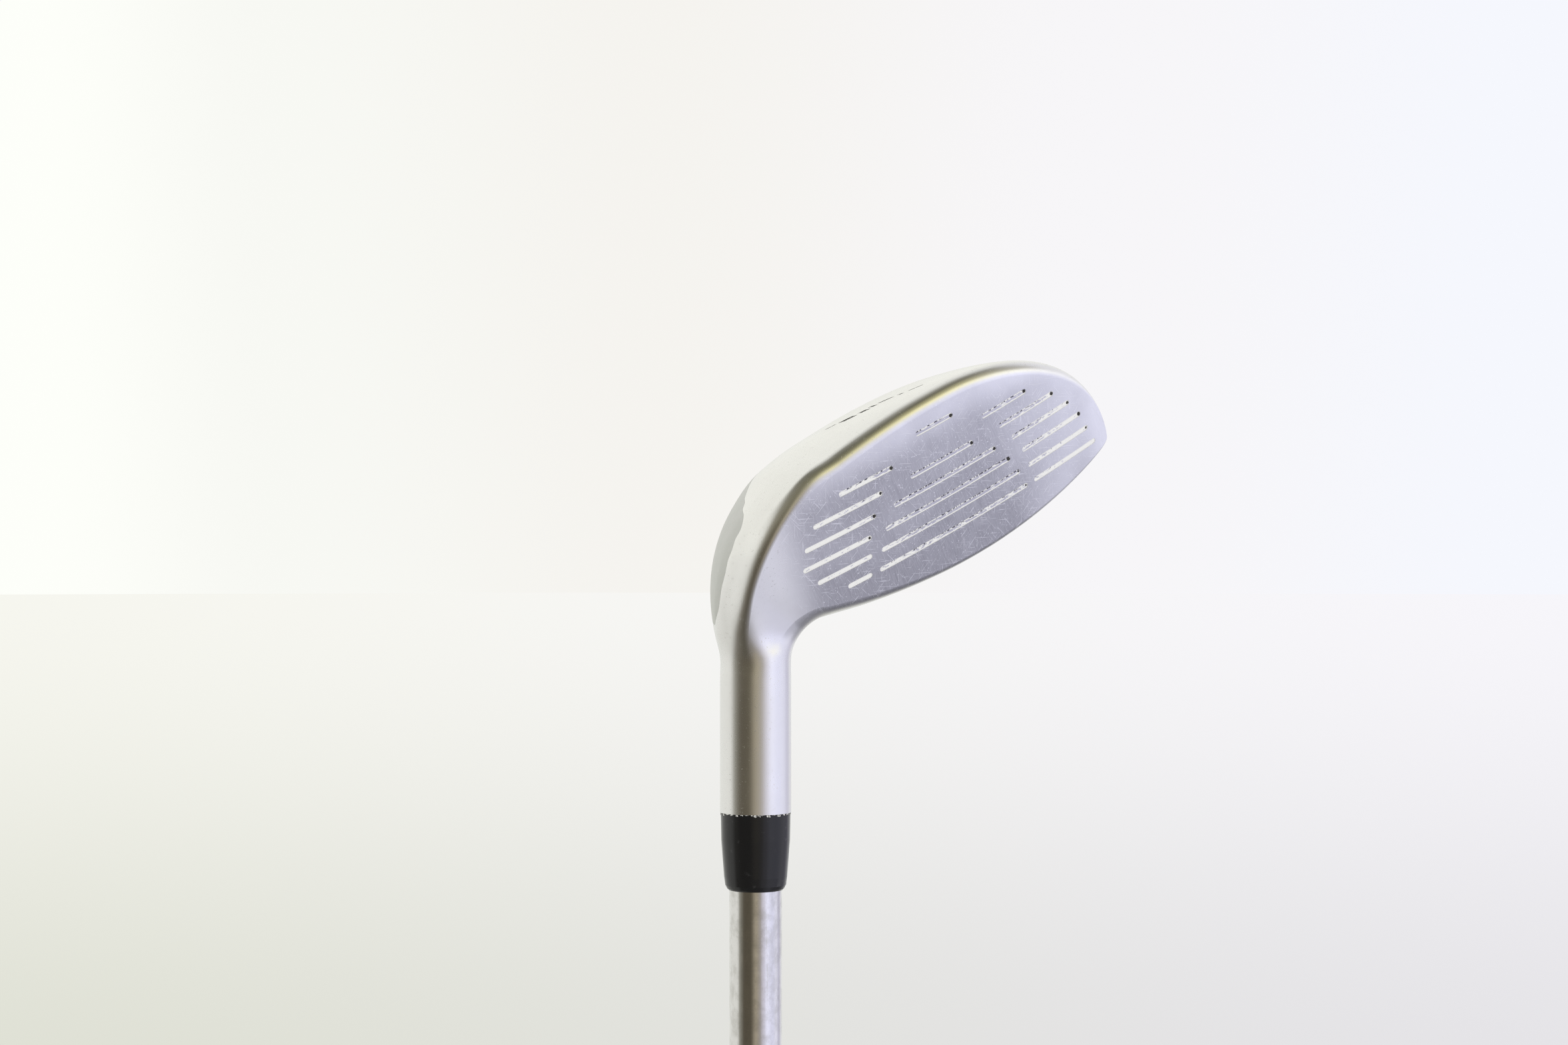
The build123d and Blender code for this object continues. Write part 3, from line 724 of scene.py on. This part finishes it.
# ---------------------------------------------------------------- materials
def steel(name, face_side):
    """Head steel: brushed where the face was ground, satin polish elsewhere."""
    s = Shader(name, Metallic=1.0)
    place = s.head_place()
    distance = s.vector("DISTANCE", s.place, sphere_centre * MM)
    off_face = s.math("ABSOLUTE", s.math("SUBTRACT", distance, face_radius * MM))
    parts = s.node("ShaderNodeSeparateXYZ", {0: place}).outputs
    on_face = 1.0
    if not face_side:
        on_face = s.math("MULTIPLY", s.span(off_face, 0.02 * MM, 0.45 * MM, 1.0, 0.0),
                         s.span(parts[0], -38.0, -28.0))

    grain = s.noise(s.head_place((7.0, 0.28, 7.0), slant=-8.0), detail=3.0, roughness=0.62)
    fine = s.noise(s.head_place((16.0, 1.1, 16.0), slant=-14.0), detail=2.0)
    cloud = s.noise(place, 0.09, detail=3.0)
    blotch = s.noise(place, 0.5, detail=4.0, roughness=0.6)

    scratches = None
    for slant, offset, keep in ((24.0, 3.0, 0.66), (-32.0, 11.0, 0.67),
                                (62.0, 23.0, 0.69), (-78.0, 31.0, 0.69)):
        drawn_out = s.head_place((0.24, 5.6, 0.24), slant=slant)
        shifted = s.vector("ADD", drawn_out, (offset, offset * 2.1, offset))
        line = s.span(s.noise(shifted, 1.0, detail=1.0), keep, keep + 0.06)
        scratches = line if scratches is None else s.math("MAXIMUM", scratches, line)
    specks = s.span(s.noise(place, 2.6, detail=1.0), 0.67, 0.74)

    # painted highlight: the face is painted brighter and bluer along the sole and at the toe, and a
    # little darker towards the topline, where the studio's light shows in it; the cloud adds tone that
    # differs at random
    tone_and_highlight = s.span(cloud, 0.35, 0.65, -0.08, 0.08)
    for part, start, end, gain in ((1, 14.0, 2.0, 0.1), (1, -6.0, -13.5, 0.65),
                                   (0, 8.0, 30.0, 0.62), (0, 32.0, 40.0, 0.4)):
        tone_and_highlight = s.math("ADD", tone_and_highlight, s.span(parts[part], start, end, 0.0, gain))
    face_colour = s.mix(tone_and_highlight, (0.45, 0.445, 0.465), (0.98, 0.98, 1.0))
    brushed = s.math("MULTIPLY", s.span(grain, 0.3, 0.75), 0.3)
    face_colour = s.mix(brushed, face_colour, (0.93, 0.93, 0.96))
    marked = s.math("MULTIPLY", s.math("MAXIMUM", scratches, specks), 0.7)
    face_colour = s.mix(marked, face_colour, (0.97, 0.97, 0.98))
    body_colour = s.mix(s.span(blotch, 0.35, 0.7), (0.86, 0.855, 0.845), (0.848, 0.843, 0.833))
    s.set("Base Color", s.mix(on_face, body_colour, face_colour))

    face_rough = s.math("ADD", s.span(grain, 0.3, 0.7, 0.30, 0.40), s.math("MULTIPLY", blotch, 0.08))
    body_rough = s.math("ADD", s.span(cloud, 0.3, 0.7, 0.24, 0.30), s.math("MULTIPLY", specks, 0.2))
    rough = s.node("ShaderNodeMix", {"Factor": on_face, "A": body_rough, "B": face_rough})
    s.set("Roughness", rough.outputs["Result"])
    grain_depth = s.math("MULTIPLY", grain, on_face if face_side else s.math("MAXIMUM", on_face, 0.25))
    cuts = s.math("MULTIPLY", scratches, on_face)
    s.bump((grain_depth, 0.010), (fine, 0.002), (cuts, 0.006), (blotch, 0.0006))
    return s


def slot_paint():
    """White paint in the score lines.

    In the middle of the face the paint is worn away but for bits of its sole-side edge. Its crown-side
    edge stays white as a painted highlight, the reflection in that groove wall, and bare steel along
    the sole-side edge is painted near black, the painted shade of that wall.
    """
    s = Shader("slot_paint_and_groove_light")
    place = s.head_place()
    across = s.node("ShaderNodeSeparateXYZ", {0: place}).outputs[1]
    level = s.math("DIVIDE", across, slot_pitch)
    beside = s.math("SUBTRACT", level, s.math("ROUND", level))
    # painted highlight: the white kept along the crown-side edge stands for the reflection in that
    # groove wall
    crown_rim_highlight = s.span(beside, 0.06, 0.09)
    sole_rim = s.span(beside, -0.055, -0.08)
    middle = s.vector("DISTANCE", place, (4.0, -6.0, 0.0))
    worn = s.span(middle, 9.0, 34.0, 0.60, 0.36)
    flake = s.noise(s.head_place((0.9, 2.6, 1.0)), 1.0, detail=4.0, roughness=0.7)
    gone = s.span(s.math("SUBTRACT", worn, flake), -0.04, 0.04)
    broken = s.span(s.noise(s.head_place((1.5, 0.3, 1.0)), 1.0, detail=3.0, roughness=0.7), 0.47, 0.53)
    rim = s.math("MAXIMUM", crown_rim_highlight, s.math("MULTIPLY", sole_rim, broken))
    bare = s.math("MULTIPLY", gone, s.math("SUBTRACT", 1.0, rim))
    # painted shade: bare steel along the sole-side edge is near black, the shade of that groove wall
    bare_steel_and_wall_shade = s.mix(sole_rim, (0.66, 0.65, 0.69), (0.11, 0.105, 0.11))
    s.set("Base Color", s.mix(bare, (0.99, 0.99, 0.98), bare_steel_and_wall_shade))
    s.set("Metallic", s.math("MULTIPLY", bare, 0.95))
    s.set("Roughness", s.span(bare, 0.0, 1.0, 0.5, 0.34))
    s.bump((flake, 0.05))
    return s


def sole_paint():
    """Satin gray paint, with a little metal in it, mottled by wear."""
    s = Shader("sole_paint_gray", Metallic=0.35, Coat_Weight=0.25, Coat_Roughness=0.25)
    place = s.millimetres()
    peel = s.noise(place, 1.6, detail=2.0)
    wear = s.noise(place, 0.35, detail=4.0, roughness=0.6)
    s.set("Base Color", s.mix(s.span(wear, 0.35, 0.7), (0.50, 0.505, 0.48), (0.56, 0.56, 0.54)))
    s.set("Roughness", s.span(wear, 0.3, 0.7, 0.38, 0.5))
    s.bump((peel, 0.02))
    return s


def mark_paint():
    """Dark paint of the plain bars on the sole, flaked away in places."""
    s = Shader("mark_paint_gray", Roughness=0.7, Specular_IOR_Level=0.2)
    wear = s.noise(s.millimetres(), 1.4, detail=3.0, roughness=0.7)
    s.set("Base Color", s.mix(s.span(wear, 0.54, 0.62), (0.04, 0.036, 0.03), (0.60, 0.59, 0.56)))
    s.bump((wear, 0.05))
    return s


def crown_paint():
    """Gloss black paint with fine flake under a clear coat."""
    s = Shader("crown_paint_black", Coat_Weight=1.0, Coat_Roughness=0.04)
    place = s.millimetres()
    flake = s.span(s.noise(place, 9.0, detail=1.0), 0.62, 0.72)
    peel = s.noise(place, 0.6, detail=2.0)
    hair = s.span(s.noise(s.head_place((0.25, 5.0, 5.0), slant=12.0), detail=1.0), 0.72, 0.8)
    s.set("Base Color", s.mix(flake, (0.012, 0.012, 0.014), (0.09, 0.09, 0.10)))
    s.set("Metallic", s.math("MULTIPLY", flake, 0.6))
    s.set("Roughness", s.math("ADD", s.span(flake, 0.0, 1.0, 0.32, 0.22), s.math("MULTIPLY", hair, 0.2)))
    s.bump((peel, 0.01), (hair, 0.002))
    return s


def shaft_steel():
    """Nickel-chromed tube, with the faint rings and mottle of its polishing."""
    s = Shader("shaft_chrome", Metallic=1.0)
    rings = s.noise(s.turned_place(1.2, 1.3), detail=3.0, roughness=0.6)
    fine = s.noise(s.turned_place(3.0, 6.0), detail=2.0)
    mottle = s.noise(s.turned_place(14.0, 0.35), detail=4.0, roughness=0.65)
    lines = s.span(s.noise(s.turned_place(60.0, 0.05), detail=1.0), 0.66, 0.74)
    s.set("Base Color", s.mix(s.span(mottle, 0.35, 0.68), (0.80, 0.79, 0.78), (0.66, 0.65, 0.63)))
    tarnish = s.span(mottle, 0.35, 0.7, 0.13, 0.24)
    s.set("Roughness", s.math("ADD", tarnish, s.math("MULTIPLY", lines, 0.1)))
    s.bump((rings, 0.016), (fine, 0.004), (mottle, 0.008))
    return s


def ferrule_plastic():
    """Turned black plastic, with fine turning rings, streaks and a few scuffs."""
    s = Shader("ferrule_black", Specular_IOR_Level=0.42)
    turning = s.noise(s.turned_place(1.5, 5.0), detail=2.0)
    scuff = s.span(s.noise(s.turned_place(26.0, 0.8), detail=3.0), 0.62, 0.78)
    streak = s.noise(s.turned_place(12.0, 0.12), detail=2.0)
    s.set("Base Color", s.mix(scuff, (0.010, 0.010, 0.011), (0.03, 0.03, 0.032)))
    gloss = s.span(streak, 0.35, 0.65, 0.10, 0.22)
    s.set("Roughness", s.math("ADD", gloss, s.math("MULTIPLY", scuff, 0.2)))
    s.bump((turning, 0.006), (scuff, 0.004))
    return s


def chip_flecks():
    """Pale and dark flecks of old glue and paint."""
    s = Shader("chip_pale", Roughness=0.45)
    fleck = s.noise(s.millimetres(), 6.0, detail=3.0)
    s.set("Base Color", s.mix(s.span(fleck, 0.38, 0.6), (0.10, 0.10, 0.10), (0.80, 0.79, 0.76)))
    s.bump((fleck, 0.05))
    return s


def rubber(name, tint):
    """Moulded grip rubber, dull where hands have rubbed it."""
    s = Shader(name, Specular_IOR_Level=0.35)
    place = s.millimetres()
    pores = s.noise(place, 5.0, detail=3.0, roughness=0.6)
    rub = s.noise(place, 0.06, detail=3.0)
    s.set("Base Color", s.mix(s.span(rub, 0.35, 0.65), tint, [c * 1.9 for c in tint]))
    s.set("Roughness", s.span(rub, 0.3, 0.7, 0.62, 0.8))
    s.bump((pores, 0.05))
    return s


def plain_paint(name, light, dark, roughness, metallic=0.0):
    """A small painted or cast piece with mottled colour and a fine uneven surface."""
    s = Shader(name, Metallic=metallic)
    mottle = s.noise(s.millimetres(), detail=4.0, roughness=0.6)
    s.set("Base Color", s.mix(s.span(mottle, 0.35, 0.65), dark, light))
    s.set("Roughness", s.span(mottle, 0.3, 0.7, roughness - 0.06, roughness + 0.08))
    s.bump((mottle, 0.04))
    return s


def band_film():
    """Clear-coated film: a dark ground with plain silver rings near its ends."""
    s = Shader("band_film_dark", Coat_Weight=0.8, Coat_Roughness=0.05)
    height = s.node("ShaderNodeSeparateXYZ", {0: s.millimetres()}).outputs[2]
    low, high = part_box("shaft_band")
    rings = None
    for centre, half in ((low.z / MM + 2.0, 0.5), (low.z / MM + 4.0, 0.25),
                         (high.z / MM - 2.0, 0.5), (high.z / MM - 4.0, 0.25)):
        away = s.math("ABSOLUTE", s.math("SUBTRACT", height, centre))
        ring = s.span(away, half, half + 0.06, 1.0, 0.0)
        rings = ring if rings is None else s.math("MAXIMUM", rings, ring)
    grain = s.noise(s.turned_place(3.0, 4.0), detail=2.0)
    ground = s.mix(s.span(grain, 0.3, 0.7), (0.035, 0.04, 0.05), (0.055, 0.06, 0.075))
    s.set("Base Color", s.mix(rings, ground, (0.75, 0.75, 0.76)))
    s.set("Metallic", s.math("MULTIPLY", rings, 0.9))
    s.set("Roughness", s.span(grain, 0.3, 0.7, 0.25, 0.35))
    s.bump((grain, 0.004))
    return s


# ---------------------------------------------------------------- the club's pieces
def make_club():
    body = skin_piece("head_body", "head_casting")
    face = skin_piece("face_plate", "face_insert")
    crown = skin_piece("crown_plate", "crown_shell")
    panel = skin_piece("sole_paint_panel", "sole_paint")
    marks = skin_piece("sole_mark_paint", "sole_marks")
    shaft = make_shaft()
    grip = make_grip()
    chips = make_chips()
    # painted shadow: dark patches in the toe ends of the score lines
    end_shadows = make_end_shadows()
    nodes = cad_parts

    steel("steel_casting", face_side=False).give(body)
    steel("steel_face", face_side=True).give(face)
    crown_paint().give(crown)
    sole_paint().give(panel)
    mark_paint().give(marks)
    slot_paint().give(nodes["score_line_paint"])
    shaft_steel().give(shaft)
    ferrule_plastic().give(nodes["ferrule"])
    chip_flecks().give(chips)
    rubber("rubber_grip", (0.016, 0.016, 0.017)).give(grip)
    rubber("rubber_cap", (0.013, 0.013, 0.014)).give(nodes["grip_cap"])
    band_film().give(nodes["shaft_band"])
    for piece, *look in (
        # near-black finish of the painted shadow patches
        (end_shadows, "dirt_black", (0.045, 0.042, 0.04), (0.015, 0.014, 0.013), 0.7),
        (nodes["grip_mark_paint"], "grip_mark_white", (0.85, 0.85, 0.83), (0.7, 0.7, 0.68), 0.5),
        (nodes["hosel_plug"], "plug_foam", (0.25, 0.25, 0.26), (0.14, 0.14, 0.15), 0.85),
        (nodes["epoxy_bond"], "epoxy_cured", (0.66, 0.58, 0.40), (0.52, 0.45, 0.30), 0.35),
        (nodes["hot_melt"], "resin_hot_melt", (0.82, 0.72, 0.48), (0.66, 0.54, 0.3), 0.25),
        (nodes["tip_weight"], "weight_brass", (0.78, 0.62, 0.32), (0.6, 0.45, 0.2), 0.35, 1.0),
        (nodes["grip_tape"], "tape_paper", (0.78, 0.70, 0.52), (0.64, 0.56, 0.4), 0.8),
    ):
        plain_paint(*look).give(piece)


# ---------------------------------------------------------------- camera, floor and light
camera_place = Vector((-0.23189, -0.43820, 0.99708))
camera_back = Vector((-0.47672, -0.87901, -0.00883))
camera_right = Vector((0.87905, -0.47674, 0.0))
camera_lens = 63.71


def make_camera():
    data = bpy.data.cameras.new("camera")
    data.sensor_width = 36.0
    data.lens = camera_lens
    data.clip_start = 0.01
    data.clip_end = 500.0
    camera = bpy.data.objects.new("camera", data)
    bpy.context.scene.collection.objects.link(camera)
    back = camera_back.normalized()
    right = (camera_right - back * camera_right.dot(back)).normalized()
    up = back.cross(right)
    turn = Matrix((right, up, back)).transposed().to_4x4()
    camera.matrix_world = Matrix.Translation(camera_place) @ turn
    bpy.context.scene.camera = camera


# the studio, as rings of light round the club: for each elevation, colours at azimuths counted
# from the camera's side of the club towards the camera's right; dark stops are its black screens
studio = (
    (-70, ((-180, (0.32, 0.32, 0.30)), (-50, (0.14, 0.14, 0.12)), (30, (0.16, 0.15, 0.15)),
           (90, (0.24, 0.24, 0.28)), (180, (0.32, 0.32, 0.30)))),
    (-38, ((-180, (0.62, 0.62, 0.58)), (-92, (0.60, 0.60, 0.56)), (-72, (0.15, 0.14, 0.11)),
           (-30, (0.09, 0.08, 0.06)), (12, (0.20, 0.19, 0.18)), (34, (0.44, 0.44, 0.48)),
           (54, (0.80, 0.80, 0.90)), (72, (0.80, 0.80, 0.92)), (90, (0.34, 0.34, 0.40)),
           (125, (0.20, 0.20, 0.23)),
           (180, (0.62, 0.62, 0.58)))),
    (-24, ((-180, (0.74, 0.74, 0.70)), (-90, (0.72, 0.72, 0.68)), (-70, (0.18, 0.16, 0.13)),
           (-30, (0.10, 0.09, 0.07)), (8, (0.24, 0.22, 0.20)), (32, (0.52, 0.51, 0.56)),
           (54, (0.78, 0.78, 0.90)), (72, (0.74, 0.74, 0.89)), (87, (0.51, 0.51, 0.63)),
           (104, (0.84, 0.84, 0.98)), (124, (0.40, 0.40, 0.46)),
           (180, (0.74, 0.74, 0.70)))),
    (-10, ((-180, (0.84, 0.85, 0.81)), (-88, (0.82, 0.82, 0.78)), (-69, (0.26, 0.25, 0.21)),
           (-50, (0.105, 0.09, 0.065)), (-22, (0.105, 0.09, 0.065)), (5, (0.40, 0.35, 0.27)),
           (18, (0.39, 0.36, 0.34)), (34, (0.66, 0.64, 0.74)), (52, (0.98, 0.99, 1.20)),
           (78, (0.86, 0.87, 1.08)), (102, (0.90, 0.90, 1.05)), (124, (0.60, 0.59, 0.72)),
           (145, (0.84, 0.84, 0.88)), (180, (0.84, 0.85, 0.81)))),
    (5, ((-180, (0.90, 0.91, 0.87)), (-88, (0.88, 0.88, 0.84)), (-69, (0.28, 0.27, 0.23)),
         (-50, (0.115, 0.10, 0.075)), (-22, (0.12, 0.105, 0.075)), (5, (0.46, 0.41, 0.30)),
         (20, (0.46, 0.42, 0.36)), (35, (0.80, 0.78, 0.86)), (52, (1.05, 1.06, 1.24)),
         (78, (0.90, 0.91, 1.10)), (106, (0.78, 0.78, 0.95)), (126, (0.62, 0.61, 0.74)),
         (145, (0.86, 0.86, 0.90)), (180, (0.90, 0.91, 0.87)))),
    (22, ((-180, (0.98, 0.98, 0.92)), (-84, (0.96, 0.96, 0.90)), (-62, (0.28, 0.26, 0.20)),
          (-20, (0.20, 0.185, 0.13)), (12, (0.34, 0.32, 0.22)), (34, (1.02, 0.95, 0.54)),
          (58, (1.32, 1.24, 0.74)), (74, (1.3, 1.28, 1.1)), (105, (1.2, 1.2, 1.3)),
          (140, (0.9, 0.9, 0.95)), (180, (0.98, 0.98, 0.92)))),
    (44, ((-180, (0.95, 0.95, 0.90)), (-112, (0.90, 0.90, 0.84)), (-76, (0.20, 0.19, 0.15)),
          (10, (0.18, 0.17, 0.11)), (34, (0.40, 0.37, 0.20)), (60, (0.44, 0.41, 0.24)),
          (88, (0.40, 0.38, 0.32)),
          (125, (0.85, 0.85, 0.90)), (180, (0.95, 0.95, 0.90)))),
    (66, ((-180, (0.88, 0.88, 0.84)), (-120, (0.70, 0.70, 0.66)), (-80, (0.18, 0.175, 0.14)),
          (30, (0.13, 0.125, 0.09)), (95, (0.20, 0.19, 0.15)), (140, (0.70, 0.70, 0.68)),
          (180, (0.88, 0.88, 0.84)))),
    (84, ((-180, (0.60, 0.60, 0.56)), (-60, (0.30, 0.29, 0.25)), (60, (0.30, 0.29, 0.25)),
          (180, (0.60, 0.60, 0.56)))),
)


class World(Shader):
    """The world's node tree, with the same helpers."""

    def __init__(self, world):
        world.use_nodes = True
        self.tree = world.node_tree
        self.tree.nodes.clear()
        self.place = self.node("ShaderNodeTexCoord").outputs["Generated"]


def make_world():
    world = bpy.data.worlds.new("studio")
    bpy.context.scene.world = world
    w = World(world)
    parts = w.node("ShaderNodeSeparateXYZ", {0: w.place}).outputs
    elevation = w.math("MULTIPLY", w.math("ARCSINE", parts[2]), 180 / math.pi)
    level_back = Vector((camera_back.x, camera_back.y, 0.0)).normalized()
    azimuth = w.math("ARCTAN2", w.vector("DOT_PRODUCT", w.place, camera_right),
                     w.vector("DOT_PRODUCT", w.place, level_back))
    turn = w.math("ADD", w.math("MULTIPLY", azimuth, 0.5 / math.pi), 0.5)
    sky = None
    for index, (height, stops) in enumerate(studio):
        ring = w.ramp(turn, [((angle + 180) / 360, tint) for angle, tint in stops])
        if sky is None:
            sky = ring
        else:
            sky = w.mix(w.span(elevation, studio[index - 1][0], height), sky, ring)

    # the backdrop, from the camera's left to its right
    reach = 0.3
    sideways = w.vector("DOT_PRODUCT", w.place, camera_right)
    plain = w.ramp(w.math("MULTIPLY", w.math("ADD", sideways, reach), 0.5 / reach), (
        (0.07, (0.985, 0.995, 0.95)), (0.2, (0.935, 0.94, 0.90)), (0.42, (0.915, 0.90, 0.865)),
        (0.7, (0.93, 0.92, 0.94)), (0.93, (0.915, 0.93, 0.985))))
    paths = w.node("ShaderNodeLightPath").outputs
    soft = w.mix(w.span(elevation, -60.0, 70.0), (0.70, 0.70, 0.70), (1.15, 1.15, 1.14))
    shown = w.mix(paths["Is Diffuse Ray"], sky, soft)
    shown = w.mix(paths["Is Camera Ray"], shown, plain)
    light = w.node("ShaderNodeBackground", {"Color": shown, "Strength": 1.0})
    output = w.node("ShaderNodeOutputWorld")
    w.tree.links.new(light.outputs[0], output.inputs["Surface"])


def make_floor():
    """A wide pale floor that glows with painted light, darker near its middle and tinted to each side,
    and fades into the backdrop.
    """
    radius, sides = 60.0, 96
    vertices = [(0.0, 0.0, 0.0)]
    for side in range(sides):
        angle = 2 * math.pi * side / sides
        vertices.append((radius * math.cos(angle), radius * math.sin(angle), 0.0))
    faces = [(0, 1 + side, 1 + (side + 1) % sides) for side in range(sides)]
    floor = new_piece("floor", vertices, faces)
    floor.visible_glossy = False
    s = Shader("floor_pale", Roughness=0.9)
    away = s.vector("DISTANCE", s.place, (0.0, 0.0, 0.0))
    outward = s.node("ShaderNodeVectorMath", {0: s.place}, operation="NORMALIZE").outputs[0]
    sideways = s.vector("DOT_PRODUCT", outward, camera_right)
    # painted light: darker within a few metres of the middle, olive towards the camera's left and bluish
    # towards its right
    near = s.mix(s.span(sideways, -0.35, 0.35), (0.70, 0.71, 0.63), (0.745, 0.735, 0.765))
    far = s.mix(s.span(sideways, -0.35, 0.35), (0.885, 0.883, 0.825), (0.888, 0.878, 0.921))
    shade = s.mix(s.span(s.math("DIVIDE", 1.0, away), 0.0, 0.21), far, near)
    # painted light: the floor glows with this colour rather than being lit; a little diffuse keeps a
    # faint shadow
    s.set("Base Color", s.mix(0.82, shade, (0.0, 0.0, 0.0)))
    s.set("Emission Color", shade)
    s.set("Emission Strength", 0.86)
    s.set("Specular IOR Level", 0.0)
    s.give(floor)


def make_looks():
    scene = bpy.context.scene
    scene.view_settings.view_transform = "Standard"
    scene.view_settings.look = "None"
    scene.view_settings.exposure = 0.0
    scene.view_settings.gamma = 1.0


make_club()
make_camera()
make_world()
make_floor()
make_looks()
